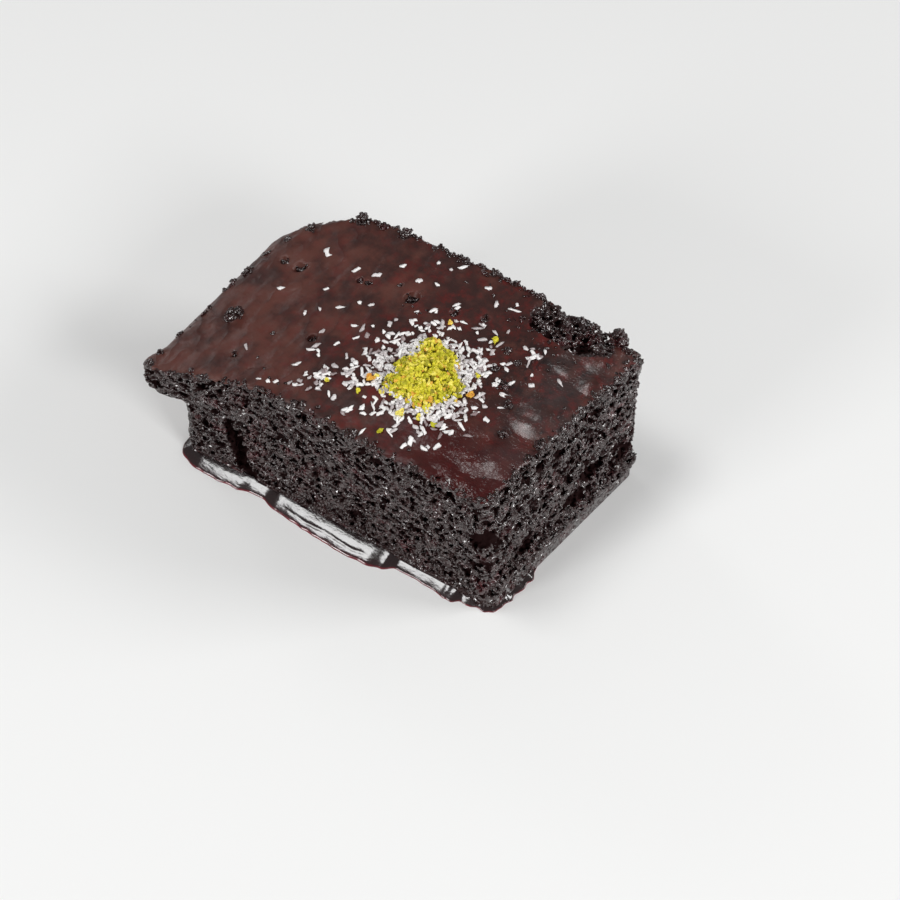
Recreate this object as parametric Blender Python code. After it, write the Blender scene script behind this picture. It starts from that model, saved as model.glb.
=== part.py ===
"""A cut slice of wet chocolate sheet cake: an open crumb under a glazed skin, topped with coconut
flakes and a heap of ground pistachio, with the sauce that has run out along its foot."""

import math
import random

import bmesh
import bpy
from mathutils import Euler, Matrix, Vector, noise
from mathutils.bvhtree import BVHTree

MM = 0.001

# The slice before it is bent to its real form: a straight block with its foot on z = 0
LENGTH = 96.0 * MM
WIDTH = 60.0 * MM
HEIGHT = 46.0 * MM
HALF_LENGTH = LENGTH / 2
HALF_WIDTH = WIDTH / 2
CELLS = (35, 22, 16)

# Corner radii in plan: the back left corner is the baking tin's, the others are cut
TIN_CORNER = 15.0 * MM
FRONT_LEFT_CORNER = 4.0 * MM
CUT_CORNER = 3.0 * MM

# Top edge: rolled over at the tin's end, nearly sharp where it is cut
SHOULDER_RADIUS = 7.0 * MM
CUT_EDGE_RADIUS = 1.4 * MM
SIDE_EDGE_RADIUS = 3.0 * MM

# How the block leans and sags
RIGHT_SKEW = 4.2 * MM
RIGHT_FOOT_SPREAD = 1.2 * MM
RIGHT_LEAN_FRONT = 3.5 * MM
RIGHT_LEAN_BACK = 1.9 * MM
LEFT_INSET = 1.2 * MM
LEFT_SKEW = 1.8 * MM
LIP_REACH = 6.6 * MM
LIP_TAPER = 1.6 * MM
FRONT_INSET = 2.0 * MM
FRONT_LEAN = 2.2 * MM
FRONT_FLARE = 0.9 * MM
FRONT_LIP = 6.0 * MM
FRONT_DROP = 1.9 * MM
BACK_LEAN = 3.6 * MM
SAG_FRONT = 11.5 * MM
SAG_BACK = 3.2 * MM

# Relief of the cut faces
FOOT_BAND = 2.5 * MM
CRAG_SIZE = 5.2 * MM
CRAG_DEPTH = 1.0 * MM
BULGE_SIZE = 15.0 * MM
BULGE_DEPTH = 0.9 * MM
LEDGE_REACH = 1.6 * MM
LEDGE_TOP = 9.0 * MM
FISSURE_DEPTH = 3.2 * MM
FISSURE_LOW = 10.5 * MM
FISSURE_HIGH = 19.0 * MM
SLIT_DEPTH = 5.5 * MM
SLIT_FOOT_X = -27.0 * MM
SLIT_TIP_X = -33.5 * MM
SLIT_TIP_Z = 27.0 * MM
SLIT_HALF_WIDTH = 4.4 * MM

# Relief of the skin, and the torn patch where the crumb shows on top
WRINKLE_SIZE = 8.0 * MM
WRINKLE_DEPTH = 0.35 * MM
PATCH_CENTRE = (31.0 * MM, 23.5 * MM)
PATCH_REACH = (13.0 * MM, 6.5 * MM)
PATCH_DEPTH = 1.1 * MM

# Lumps of crumb on the skin: x, y and radius
LUMPS = (
    (-42.0 * MM, -13.9 * MM, 2.4 * MM),
    (-48.8 * MM, 2.5 * MM, 1.9 * MM),
    (-32.6 * MM, 29.4 * MM, 1.7 * MM),
    (-20.2 * MM, 30.0 * MM, 1.4 * MM),
    (42.5 * MM, 30.2 * MM, 2.0 * MM),
    (36.5 * MM, 30.4 * MM, 1.5 * MM),
)
LUMP_SINK = 0.35

# Heaps on the top
COCONUT_FORM = {
    "centre": (9.8 * MM, -6.2 * MM),
    "reach": (14.2 * MM, 14.6 * MM),
    "lobes": 0.05,
    "thickness": 1.6 * MM,
    "rim": 0.35 * MM,
    "bump_size": 1.9 * MM,
    "bump_height": 0.25 * MM,
    "detail": 4,
}
PISTACHIO_FORM = {
    "centre": (10.4 * MM, -6.0 * MM),
    "reach": (8.6 * MM, 10.2 * MM),
    "lobes": 0.09,
    "thickness": 3.2 * MM,
    "rim": 0.5 * MM,
    "bump_size": 1.6 * MM,
    "bump_height": 0.7 * MM,
    "detail": 4,
}
GAP = 0.3 * MM

# Coconut flakes
FLAKE_LENGTH = 2.6 * MM
FLAKE_WIDTH = 0.9 * MM
FLAKE_THICKNESS = 0.6 * MM
SCATTERED_FLAKES = 86
SCATTER_SPREAD = (11.0 * MM, 11.0 * MM)
HEAP_FLAKES = 26
GRAIN_RADIUS = 0.8 * MM
HEAP_GRAINS = 20

# Sauce along the foot
POOL_DEPTH = 1.3 * MM
POOL_EDGE = 0.25 * MM
POOL_REACH = 4.4 * MM
POOL_SEAM = 1.0 * MM
POOL_LEFT_START = -6.0 * MM
POOL_RIGHT_END = -10.0 * MM
POOL_CELLS = (64, 3)

# Colours as linear RGB
CRUMB_COLOUR = (0.012, 0.006, 0.006)
COCONUT_COLOUR = (0.72, 0.68, 0.68)
PISTACHIO_COLOUR = (0.42, 0.38, 0.03)
SAUCE_COLOUR = (0.010, 0.003, 0.003)

SEED = 41


def clamp(value, low=0.0, high=1.0):
    return max(low, min(high, value))


def smoothstep(low, high, value):
    t = clamp((value - low) / (high - low))
    return t * t * (3 - 2 * t)


def rough(point, size, shift=0.0):
    """Smooth noise from about -1 to 1 whose features are of the given size."""
    return noise.noise(point / size + Vector((shift, 2.0 * shift, -shift)))


def corner_radius(x, y):
    """Radius of the plan's corner in the quarter that holds x, y."""
    if x < 0:
        return TIN_CORNER if y > 0 else FRONT_LEFT_CORNER
    return CUT_CORNER


def square_to_round(a, b):
    """Moves a point of the square corner a, b (each 0 at the round's centre) onto the round one."""
    if a <= 0 or b <= 0:
        return a, b
    shrink = max(a, b) / math.hypot(a, b)
    return a * shrink, b * shrink


def round_plan(x, y):
    """Takes a point of the straight plan to the plan with its corners rounded."""
    radius = corner_radius(x, y)
    a = abs(x) - (HALF_LENGTH - radius)
    b = abs(y) - (HALF_WIDTH - radius)
    a, b = square_to_round(a, b)
    return (
        math.copysign(a + HALF_LENGTH - radius, x),
        math.copysign(b + HALF_WIDTH - radius, y),
    )


def round_top(point):
    """Rolls the top edge over, most at the tin's end."""
    to_end = HALF_LENGTH - abs(point.x)
    to_side = HALF_WIDTH - abs(point.y)
    at_end = smoothstep(-0.55 * HALF_LENGTH, -0.95 * HALF_LENGTH, point.x)
    radius = CUT_EDGE_RADIUS + (SHOULDER_RADIUS - CUT_EDGE_RADIUS) * at_end
    below = HEIGHT - point.z
    moved = point.copy()
    if to_end <= to_side:
        a, b = square_to_round(radius - to_end, radius - below)
        moved.x = math.copysign(HALF_LENGTH - (radius - a), point.x)
    else:
        radius = min(radius, SIDE_EDGE_RADIUS)
        a, b = square_to_round(radius - to_side, radius - below)
        moved.y = math.copysign(HALF_WIDTH - (radius - a), point.y)
    moved.z = HEIGHT - (radius - b)
    return moved


def bend(point):
    """Takes a point of the rounded block to its real place: skewed ends, leaning sides, a lip
    over the left end, and a top that sags towards the front left corner."""
    u = point.x / HALF_LENGTH
    v = point.y / HALF_WIDTH
    w = point.z / HEIGHT
    lip = smoothstep(0.55, 0.86, w)
    right = (1 + u) / 2
    left = (1 - u) / 2
    front = (1 - v) / 2
    back = (1 + v) / 2
    flare = smoothstep(-0.25, -1.0, u)
    sag = clamp((0.1 - u) / 1.1) ** 1.4
    sag_depth = (SAG_FRONT * front + SAG_BACK * back) * sag
    sag_depth += FRONT_DROP * smoothstep(-0.3, 0.3, u) * smoothstep(-0.45, -1.0, v)
    right_lean = RIGHT_LEAN_FRONT * front + RIGHT_LEAN_BACK * back
    return Vector(
        (
            point.x
            + right * (RIGHT_FOOT_SPREAD + RIGHT_SKEW * v - right_lean * w)
            + left * (LEFT_INSET + LEFT_SKEW * v - (LIP_REACH - LIP_TAPER * v) * lip),
            point.y
            + front * (FRONT_INSET - FRONT_LEAN * w * (1 - flare))
            - front * flare * (FRONT_FLARE + FRONT_LIP * lip)
            + back * BACK_LEAN * w * smoothstep(1.3, 0.4, u) * smoothstep(-0.9, -0.45, u),
            point.z * (HEIGHT - sag_depth) / HEIGHT,
        )
    )


def cut_share(point):
    """1 on the cut faces, 0 on the tin's end, whose skin is smooth."""
    return smoothstep(-0.97 * HALF_LENGTH, -0.86 * HALF_LENGTH, point.x)


def wall_depth(point, outward):
    """How far the cut face lies behind the block's plane at a point of it."""
    above_foot = smoothstep(0.9 * FOOT_BAND, 2.0 * FOOT_BAND, point.z)
    crag = rough(point, CRAG_SIZE, 3.1) + 0.6 * rough(point, CRAG_SIZE / 2, 7.7)
    depth = CRAG_DEPTH * (0.35 + crag) * above_foot
    depth += BULGE_DEPTH * rough(point, BULGE_SIZE, 1.3) * above_foot
    depth *= 0.3 + 0.7 * cut_share(point)
    if outward.x > 0.5:
        broken = 0.65 + 0.7 * rough(point, 11.0 * MM, 5.9)
        band = smoothstep(FISSURE_LOW - 2.0 * MM, FISSURE_LOW + 1.5 * MM, point.z)
        band *= smoothstep(FISSURE_HIGH + 2.5 * MM, FISSURE_HIGH - 2.5 * MM, point.z)
        depth += FISSURE_DEPTH * band * clamp(broken)
        depth -= LEDGE_REACH * above_foot * smoothstep(LEDGE_TOP + 2.0 * MM, LEDGE_TOP, point.z)
    if outward.y < -0.5:
        depth += SLIT_DEPTH * slit_share(point) * above_foot
    return depth


def slit_share(point):
    """1 along the middle of the slit in the front face, 0 outside it."""
    along = clamp(point.z / SLIT_TIP_Z)
    middle = SLIT_FOOT_X + (SLIT_TIP_X - SLIT_FOOT_X) * along
    half_width = SLIT_HALF_WIDTH * (1 - 0.4 * along)
    across = 1 - smoothstep(0.0, half_width, abs(point.x - middle))
    return across * (1 - smoothstep(0.85, 1.0, point.z / SLIT_TIP_Z))


def patch_share(x, y):
    """1 where the skin is torn and the crumb shows on top."""
    a = (x - PATCH_CENTRE[0]) / PATCH_REACH[0]
    b = (y - PATCH_CENTRE[1]) / PATCH_REACH[1]
    return smoothstep(1.25, 0.7, math.hypot(a, b))


def heap_share(x, y, centre, reach):
    """Distance from a heap's centre as a share of its reach."""
    a = (x - centre[0]) / reach[0]
    b = (y - centre[1]) / reach[1]
    return math.hypot(a, b)


def top_rise(x, y):
    """Height of the skin's relief above the block's top. It is even under the heaps."""
    point = Vector((x, y, 0))
    wrinkle = rough(point, WRINKLE_SIZE, 9.4) + 0.5 * rough(point, WRINKLE_SIZE / 2.2, 4.2)
    clear = smoothstep(1.12, 1.45, heap_share(x, y, COCONUT_FORM["centre"], COCONUT_FORM["reach"]))
    rise = WRINKLE_DEPTH * wrinkle * (1 + 1.2 * smoothstep(20 * MM, 36 * MM, x))
    rise += PATCH_DEPTH * patch_share(x, y) * (rough(point, 3.6 * MM, 6.6) - 0.35)
    return rise * clear


def outward_of(point):
    """Sum of the normals of the block's walls that a point lies on."""
    near = 1e-6
    x = (point.x > HALF_LENGTH - near) - (point.x < near - HALF_LENGTH)
    y = (point.y > HALF_WIDTH - near) - (point.y < near - HALF_WIDTH)
    return Vector((x, y, 0))


def shape_vertex(block_point):
    """The real place of a vertex of the straight block's surface."""
    outward = outward_of(block_point)
    point = block_point.copy()
    top_share = smoothstep(HEIGHT - 2.6 * MM, HEIGHT, block_point.z)
    if outward.length > 0:
        depth = wall_depth(block_point, outward)
        point -= outward.normalized() * depth * (1 - 0.5 * top_share)
    if block_point.z > HEIGHT - 1e-6:
        point.z += top_rise(block_point.x, block_point.y)
    rolled = round_top(Vector((*block_point.xy, min(block_point.z, HEIGHT))))
    point += rolled - block_point
    x, y = round_plan(block_point.x, block_point.y)
    point += Vector((x - block_point.x, y - block_point.y, 0))
    return bend(point)


def grid_block(size, cells):
    """A closed box of the given size standing on z = 0, cut into cells along each axis."""
    mesh = bmesh.new()
    bmesh.ops.create_cube(mesh, size=1.0)
    bmesh.ops.translate(mesh, vec=(0, 0, 0.5), verts=mesh.verts)
    bmesh.ops.scale(mesh, vec=size, verts=mesh.verts)
    low = (-size[0] / 2, -size[1] / 2, 0.0)
    for axis in range(3):
        normal = Vector((0, 0, 0))
        normal[axis] = 1.0
        for step in range(1, cells[axis]):
            place = Vector((0, 0, 0))
            place[axis] = low[axis] + size[axis] * step / cells[axis]
            everything = mesh.verts[:] + mesh.edges[:] + mesh.faces[:]
            bmesh.ops.bisect_plane(mesh, geom=everything, plane_co=place, plane_no=normal)
    return mesh


def new_material(name, colour, roughness):
    material = bpy.data.materials.new(name)
    material.use_nodes = True
    shader = material.node_tree.nodes["Principled BSDF"]
    shader.inputs["Base Color"].default_value = (*colour, 1.0)
    shader.inputs["Roughness"].default_value = roughness
    shader.inputs["Metallic"].default_value = 0.0
    material.diffuse_color = (*colour, 1.0)
    return material


def new_object(name, mesh, collection, material=None):
    """An object from a bmesh, which is used up."""
    bmesh.ops.recalc_face_normals(mesh, faces=mesh.faces)
    data = bpy.data.meshes.new(name)
    mesh.to_mesh(data)
    mesh.free()
    made = bpy.data.objects.new(name, data)
    collection.objects.link(made)
    if material:
        data.materials.append(material)
    return made


def cake_block(collection, material):
    """The sponge with its skin, without what lies on it."""
    mesh = grid_block((LENGTH, WIDTH, HEIGHT), CELLS)
    underside = [face for face in mesh.faces if face.calc_center_median().z < 1e-6]
    bmesh.ops.dissolve_faces(mesh, faces=underside, use_verts=True)
    for vertex in mesh.verts:
        vertex.co = shape_vertex(vertex.co.copy())
        if vertex.co.z < 1e-6:
            vertex.co.z = 0.0
    return new_object("cake", mesh, collection, material)


def surface_of(made):
    """A search tree of an object's faces, for finding the surface below a point."""
    mesh = bmesh.new()
    mesh.from_mesh(made.data)
    tree = BVHTree.FromBMesh(mesh)
    mesh.free()
    return tree


def height_at(tree, x, y):
    """Height and normal of the surface under a point, or None where there is no surface."""
    hit, normal, _, _ = tree.ray_cast(Vector((x, y, 3 * HEIGHT)), Vector((0, 0, -1)))
    if hit is None:
        return None
    return hit.z, normal


def lump(place, radius, shift, collection):
    """A craggy crumb, pressed a little into the surface below it."""
    mesh = bmesh.new()
    bmesh.ops.create_icosphere(mesh, subdivisions=2, radius=radius)
    for vertex in mesh.verts:
        vertex.co *= 1 + 0.35 * rough(vertex.co, 0.8 * radius, shift)
        vertex.co.z *= 0.85
    bmesh.ops.translate(mesh, vec=place, verts=mesh.verts)
    new_object("lump", mesh, collection)


def flake(place, normal, turn, length, collection):
    """A sliver of coconut, lying on the surface and sunk into it by under half its thickness."""
    mesh = bmesh.new()
    bmesh.ops.create_cube(mesh, size=1.0)
    bmesh.ops.scale(mesh, vec=(length, FLAKE_WIDTH, FLAKE_THICKNESS), verts=mesh.verts)
    for vertex in mesh.verts:
        if vertex.co.x > 0:
            vertex.co.y *= 0.45
    lie = Vector((0, 0, 1)).rotation_difference(normal).to_matrix().to_4x4()
    bmesh.ops.transform(mesh, matrix=lie @ Matrix.Rotation(turn, 4, "Z"), verts=mesh.verts)
    bmesh.ops.translate(mesh, vec=place, verts=mesh.verts)
    new_object("flake", mesh, collection)


def grain(place, radius, turn, collection):
    """A crumb of pistachio, half sunk in the heap."""
    mesh = bmesh.new()
    bmesh.ops.create_icosphere(mesh, subdivisions=1, radius=radius)
    spin = Euler(turn).to_matrix().to_4x4() @ Matrix.Diagonal((1.3, 0.9, 0.8, 1.0))
    bmesh.ops.transform(mesh, matrix=spin, verts=mesh.verts)
    bmesh.ops.translate(mesh, vec=place, verts=mesh.verts)
    new_object("grain", mesh, collection)


def fuse(body, pieces):
    """Joins a collection of pieces to a body, applies the join and removes the pieces."""
    join = body.modifiers.new("join", "BOOLEAN")
    join.operation = "UNION"
    join.operand_type = "COLLECTION"
    join.collection = pieces
    join.solver = "MANIFOLD"
    graph = bpy.context.evaluated_depsgraph_get()
    joined = bpy.data.meshes.new_from_object(body.evaluated_get(graph))
    body.modifiers.clear()
    old = body.data
    body.data = joined
    bpy.data.meshes.remove(old)
    joined.name = body.name
    for piece in list(pieces.objects):
        bpy.data.objects.remove(piece)
    bpy.data.collections.remove(pieces)


def piece_collection(name):
    made = bpy.data.collections.new(name)
    bpy.context.scene.collection.children.link(made)
    return made


def add_cake_toppings(cake, draw):
    """Fuses the lumps and the scattered flakes to the sponge, clear of the heaps."""
    top = surface_of(cake)
    pieces = piece_collection("cake_toppings")
    for index, (x, y, radius) in enumerate(LUMPS):
        z, _ = height_at(top, x, y)
        lump(Vector((x, y, z + LUMP_SINK * radius)), radius, 2.3 * index, pieces)
    placed = []
    clear_of = [r + 0.8 * FLAKE_LENGTH for r in COCONUT_FORM["reach"]]
    while len(placed) < SCATTERED_FLAKES:
        x = COCONUT_FORM["centre"][0] - 2.0 * MM + draw.gauss(0, SCATTER_SPREAD[0])
        y = COCONUT_FORM["centre"][1] + 1.5 * MM + draw.gauss(0, SCATTER_SPREAD[1])
        turn = draw.uniform(0, math.pi)
        length = FLAKE_LENGTH * draw.uniform(0.75, 1.15)
        found = height_at(top, x, y)
        if found is None or found[0] < 0.7 * HEIGHT or found[1].z < 0.8:
            continue
        rim = heap_share(x, y, COCONUT_FORM["centre"], clear_of)
        crowded = any(math.hypot(x - a, y - b) < 0.85 * FLAKE_LENGTH for a, b in placed)
        if rim < 1 or crowded or abs(y) > HALF_WIDTH - 2.0 * MM:
            continue
        placed.append((x, y))
        flake(Vector((x, y, found[0] + 0.08 * MM)), found[1], turn, length, pieces)
    fuse(cake, pieces)


def uneven_outline(angle, lobes):
    """A heap's outline against its plain ellipse, as a share of the radius."""
    return 1 + lobes * (0.6 * math.cos(3 * angle + 0.6) + 0.4 * math.cos(5 * angle + 2.0))


def heap(name, floor, form, collection, material):
    """A low heap on a floor: a sphere flattened onto it, uneven in outline and top."""
    mesh = bmesh.new()
    bmesh.ops.create_icosphere(mesh, subdivisions=form["detail"], radius=1.0)
    for vertex in mesh.verts:
        way = vertex.co.normalized()
        angle = math.atan2(way.y, way.x)
        polar = math.acos(clamp(abs(way.z), 0.0, 1.0))
        share = 2 * polar / math.pi
        spread = share * uneven_outline(angle, form["lobes"])
        x = form["centre"][0] + form["reach"][0] * spread * math.cos(angle)
        y = form["centre"][1] + form["reach"][1] * spread * math.sin(angle)
        z = height_at(floor, x, y)[0] + GAP
        if way.z > 1e-6:
            dome = (form["thickness"] - form["rim"]) * (1 - share**2.2)
            bump = form["bump_height"] * rough(Vector((x, y, 0)), form["bump_size"], 8.8)
            z += form["rim"] + max(0.0, dome + bump * (1 - share**4))
        vertex.co = Vector((x, y, z))
    return new_object(name, mesh, collection, material)


def add_heap_flakes(coconut, draw):
    """Fuses flakes to the coconut heap in the ring that the pistachio leaves clear."""
    top = surface_of(coconut)
    pieces = piece_collection("coconut_flakes")
    edge = FLAKE_WIDTH / 2 + GAP
    clear_of = [(1 + PISTACHIO_FORM["lobes"]) * r + edge for r in PISTACHIO_FORM["reach"]]
    within = [(1 - COCONUT_FORM["lobes"]) * r - edge for r in COCONUT_FORM["reach"]]
    placed = []
    while len(placed) < HEAP_FLAKES:
        x = COCONUT_FORM["centre"][0] + draw.uniform(-1, 1) * within[0]
        y = COCONUT_FORM["centre"][1] + draw.uniform(-1, 1) * within[1]
        turn = draw.uniform(0, math.pi)
        length = FLAKE_LENGTH * draw.uniform(0.7, 1.0)
        half = Vector((math.cos(turn), math.sin(turn))) * length / 2
        ends = [Vector((x, y)) + half, Vector((x, y)) - half]
        outside = min(heap_share(*end, PISTACHIO_FORM["centre"], clear_of) for end in ends)
        inside = max(heap_share(*end, COCONUT_FORM["centre"], within) for end in ends)
        crowded = any(math.hypot(x - a, y - b) < 0.6 * FLAKE_LENGTH for a, b in placed)
        if outside < 1 or inside > 1 or crowded:
            continue
        z, normal = height_at(top, x, y)
        flake(Vector((x, y, z + 0.15 * MM)), normal, turn, length, pieces)
        placed.append((x, y))
    fuse(coconut, pieces)


def add_heap_grains(pistachio, draw):
    """Fuses loose grains to the top of the pistachio heap."""
    top = surface_of(pistachio)
    pieces = piece_collection("pistachio_grains")
    for _ in range(HEAP_GRAINS):
        angle = draw.uniform(0, 2 * math.pi)
        share = 0.82 * math.sqrt(draw.random())
        x = PISTACHIO_FORM["centre"][0] + PISTACHIO_FORM["reach"][0] * share * math.cos(angle)
        y = PISTACHIO_FORM["centre"][1] + PISTACHIO_FORM["reach"][1] * share * math.sin(angle)
        z, _ = height_at(top, x, y)
        radius = GRAIN_RADIUS * draw.uniform(0.8, 1.2)
        turn = [draw.uniform(0, math.pi) for _ in range(3)]
        grain(Vector((x, y, z + 0.2 * radius)), radius, turn, pieces)
    fuse(pistachio, pieces)


def foot_path(share):
    """Point of the straight block's foot at a share of the pool's way: down the left end, along
    the front and up the right end."""
    runs = (HALF_WIDTH + POOL_LEFT_START, LENGTH, HALF_WIDTH + POOL_RIGHT_END)
    along = clamp(share) * sum(runs)
    if along < runs[0]:
        return Vector((-HALF_LENGTH, POOL_LEFT_START - along, 0))
    along -= runs[0]
    if along < runs[1]:
        return Vector((along - HALF_LENGTH, -HALF_WIDTH, 0))
    return Vector((HALF_LENGTH, along - runs[1] - HALF_WIDTH, 0))


def pool_width(place, share):
    """How far the sauce has run out from the foot."""
    broad = smoothstep(-47 * MM, -38 * MM, place.x) * smoothstep(21 * MM, 14 * MM, place.x)
    tail = 0.32 * smoothstep(27 * MM, 33 * MM, place.x) * smoothstep(46 * MM, 40 * MM, place.x)
    edge = 1 + 0.28 * rough(place, 9 * MM, 2.2)
    ends = smoothstep(0.0, 0.05, share) * smoothstep(1.0, 0.95, share)
    return (POOL_SEAM + (POOL_REACH - POOL_SEAM) * (broad + tail) * edge) * (0.4 + 0.6 * ends)


def sauce_pool(collection, material):
    """The pool of sauce: a strip with a rounded outer edge that follows the cake's foot."""
    mesh = grid_block((1.0, 1.0, 1.0), (*POOL_CELLS, 1))
    underside = [face for face in mesh.faces if face.calc_center_median().z < 1e-6]
    bmesh.ops.dissolve_faces(mesh, faces=underside, use_verts=True)
    step = 0.004
    for vertex in mesh.verts:
        share = vertex.co.x + 0.5
        out = vertex.co.y + 0.5
        here = shape_vertex(foot_path(share))
        run = shape_vertex(foot_path(share + step)) - shape_vertex(foot_path(share - step))
        outward = Vector((run.y, -run.x, 0)).normalized()
        place = here + outward * (GAP + pool_width(here, share) * out)
        rise = POOL_EDGE + (POOL_DEPTH - POOL_EDGE) * math.sqrt(1 - out**2.5)
        place.z = rise if vertex.co.z > 0.5 else 0.0
        vertex.co = place
    return new_object("sauce_pool", mesh, collection, material)


def build():
    for leftover in list(bpy.data.objects):
        bpy.data.objects.remove(leftover)
    slice_collection = piece_collection("chocolate_cake_slice")
    crumb = new_material("crumb", CRUMB_COLOUR, 0.35)
    coconut_finish = new_material("coconut", COCONUT_COLOUR, 0.6)
    pistachio_finish = new_material("pistachio", PISTACHIO_COLOUR, 0.7)
    sauce_finish = new_material("sauce", SAUCE_COLOUR, 0.1)
    draw = random.Random(SEED)
    cake = cake_block(slice_collection, crumb)
    coconut = heap("coconut_heap", surface_of(cake), COCONUT_FORM, slice_collection, coconut_finish)
    pistachio = heap(
        "pistachio_heap", surface_of(coconut), PISTACHIO_FORM, slice_collection, pistachio_finish
    )
    sauce_pool(slice_collection, sauce_finish)
    add_cake_toppings(cake, draw)
    add_heap_flakes(coconut, draw)
    add_heap_grains(pistachio, draw)


build()
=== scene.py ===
import math
import random

import bmesh
import bpy
from mathutils import Euler, Matrix, Vector, noise
from mathutils.bvhtree import BVHTree


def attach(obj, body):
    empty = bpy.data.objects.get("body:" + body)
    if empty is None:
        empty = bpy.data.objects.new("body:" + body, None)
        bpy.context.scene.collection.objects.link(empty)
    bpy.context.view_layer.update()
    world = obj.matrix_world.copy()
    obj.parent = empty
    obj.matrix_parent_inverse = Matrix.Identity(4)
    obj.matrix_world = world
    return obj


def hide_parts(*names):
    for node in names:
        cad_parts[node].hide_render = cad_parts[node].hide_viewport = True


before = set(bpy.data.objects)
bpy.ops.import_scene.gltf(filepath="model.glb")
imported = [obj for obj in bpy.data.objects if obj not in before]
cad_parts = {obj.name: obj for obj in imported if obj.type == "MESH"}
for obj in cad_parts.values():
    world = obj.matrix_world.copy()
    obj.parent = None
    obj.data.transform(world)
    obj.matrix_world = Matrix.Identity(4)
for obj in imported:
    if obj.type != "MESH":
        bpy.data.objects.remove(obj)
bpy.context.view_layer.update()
mm = 0.001
draw = random.Random(7)
scene = bpy.context.scene
print("frame loaded")


class Wire:  # a socket that takes part in sums, in a shader or a geometry tree
    def __init__(self, socket):
        self.socket = socket
        self.tree = socket.id_data

    def node(self, kind, settings=None, sockets=None, out=0):  # any node: its type, settings, sockets
        return addNode(self.tree, kind, settings, sockets, out)

    def maths(self, operation, *others):
        values = dict(enumerate((self, *others)))
        return self.node("ShaderNodeMath", {"operation": operation}, values)

    def vectorMaths(self, operation, other):
        socket = "Scale" if operation == "SCALE" else 1
        return self.node("ShaderNodeVectorMath", {"operation": operation}, {0: self, socket: other})

    def __add__(self, other):
        return self.maths("ADD", other)

    def __sub__(self, other):
        return self.maths("SUBTRACT", other)

    def __rsub__(self, other):
        return self.maths("MULTIPLY_ADD", -1.0, other)

    def __mul__(self, other):
        return self.maths("MULTIPLY", other)

    def __truediv__(self, other):
        return self.maths("DIVIDE", other)

    def __pow__(self, other):
        return self.maths("POWER", other)

    __radd__ = __add__
    __rmul__ = __mul__

    def size(self):
        return self.maths("ABSOLUTE")

    def most(self, other, soft=0.0):  # the larger, with a soft join
        return self.maths("SMOOTH_MAX", other, soft) if soft else self.maths("MAXIMUM", other)

    def least(self, other, soft=0.0):
        return self.maths("SMOOTH_MIN", other, soft) if soft else self.maths("MINIMUM", other)

    def below(self, other):
        return self.maths("LESS_THAN", other)

    def hypot(self, other):
        return (self * self + other * other).maths("SQRT")

    def ramp(self, low, high):  # 0 at low to 1 at high, eased
        sockets = {"Value": self, "From Min": low, "From Max": high}
        return self.node("ShaderNodeMapRange", {"interpolation_type": "SMOOTHSTEP"}, sockets)

    def parts(self):
        split = self.node("ShaderNodeSeparateXYZ", {}, {0: self}).socket.node
        return [Wire(socket) for socket in split.outputs]

    def distance(self, point):
        sockets = {0: self, 1: point}
        return self.node("ShaderNodeVectorMath", {"operation": "DISTANCE"}, sockets, "Value")

    def grain(self, width, detail=2.0, shift=0.0, roughness=0.5):  # cloudy noise, about -1 to 1
        place = self.vectorMaths("ADD", (shift, 2 * shift, -shift))
        sockets = {"Vector": place, "Scale": 1 / width, "Detail": detail, "Roughness": roughness}
        return (self.node("ShaderNodeTexNoise", {}, sockets) - 0.5) * 2.0

    def bubbles(self, width, shift=0.0):  # distance to the nearest bubble's middle, and its own draw
        sockets = {"Vector": self.vectorMaths("ADD", (shift, 0, 0)), "Scale": 1 / width}
        found = self.node("ShaderNodeTexVoronoi", {}, sockets)
        tint = Wire(found.socket.node.outputs["Color"])
        return found * width, tint.parts()[0]

    def facets(self, width, shift=0.0):  # the height of small flat facets, each with its own tilt
        place = self.vectorMaths("ADD", (shift, -shift, 0))
        nearest = place.node("ShaderNodeTexVoronoi", {}, {"Vector": place, "Scale": 1 / width}).socket.node
        across = place.vectorMaths("SUBTRACT", Wire(nearest.outputs["Position"]))
        tilt = Wire(nearest.outputs["Color"]).vectorMaths("SUBTRACT", (0.5, 0.5, 0.5))
        sockets = {0: across, 1: tilt}
        return self.node("ShaderNodeVectorMath", {"operation": "DOT_PRODUCT"}, sockets, "Value")


def feed(socket, value):
    if isinstance(value, Wire):
        socket.id_data.links.new(value.socket, socket)
    else:
        socket.default_value = value


def addNode(tree, kind, settings=None, sockets=None, out=0):
    node = tree.nodes.new(kind)
    for name, value in (settings or {}).items():
        if name == "stops":
            fillRamp(node.color_ramp, value)
        else:
            setattr(node, name, value)
    for name, value in (sockets or {}).items():
        feed(node.inputs[name], value)
    return Wire(node.outputs[out])


def fillRamp(ramp, stops):
    while len(ramp.elements) < len(stops):
        ramp.elements.new(0.5)
    for element, (place, colour) in zip(ramp.elements, stops):
        element.position, element.color = place, (*colour, 1.0)


def join(tree, x, y, z):
    return addNode(tree, "ShaderNodeCombineXYZ", {}, {"X": x, "Y": y, "Z": z})


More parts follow.
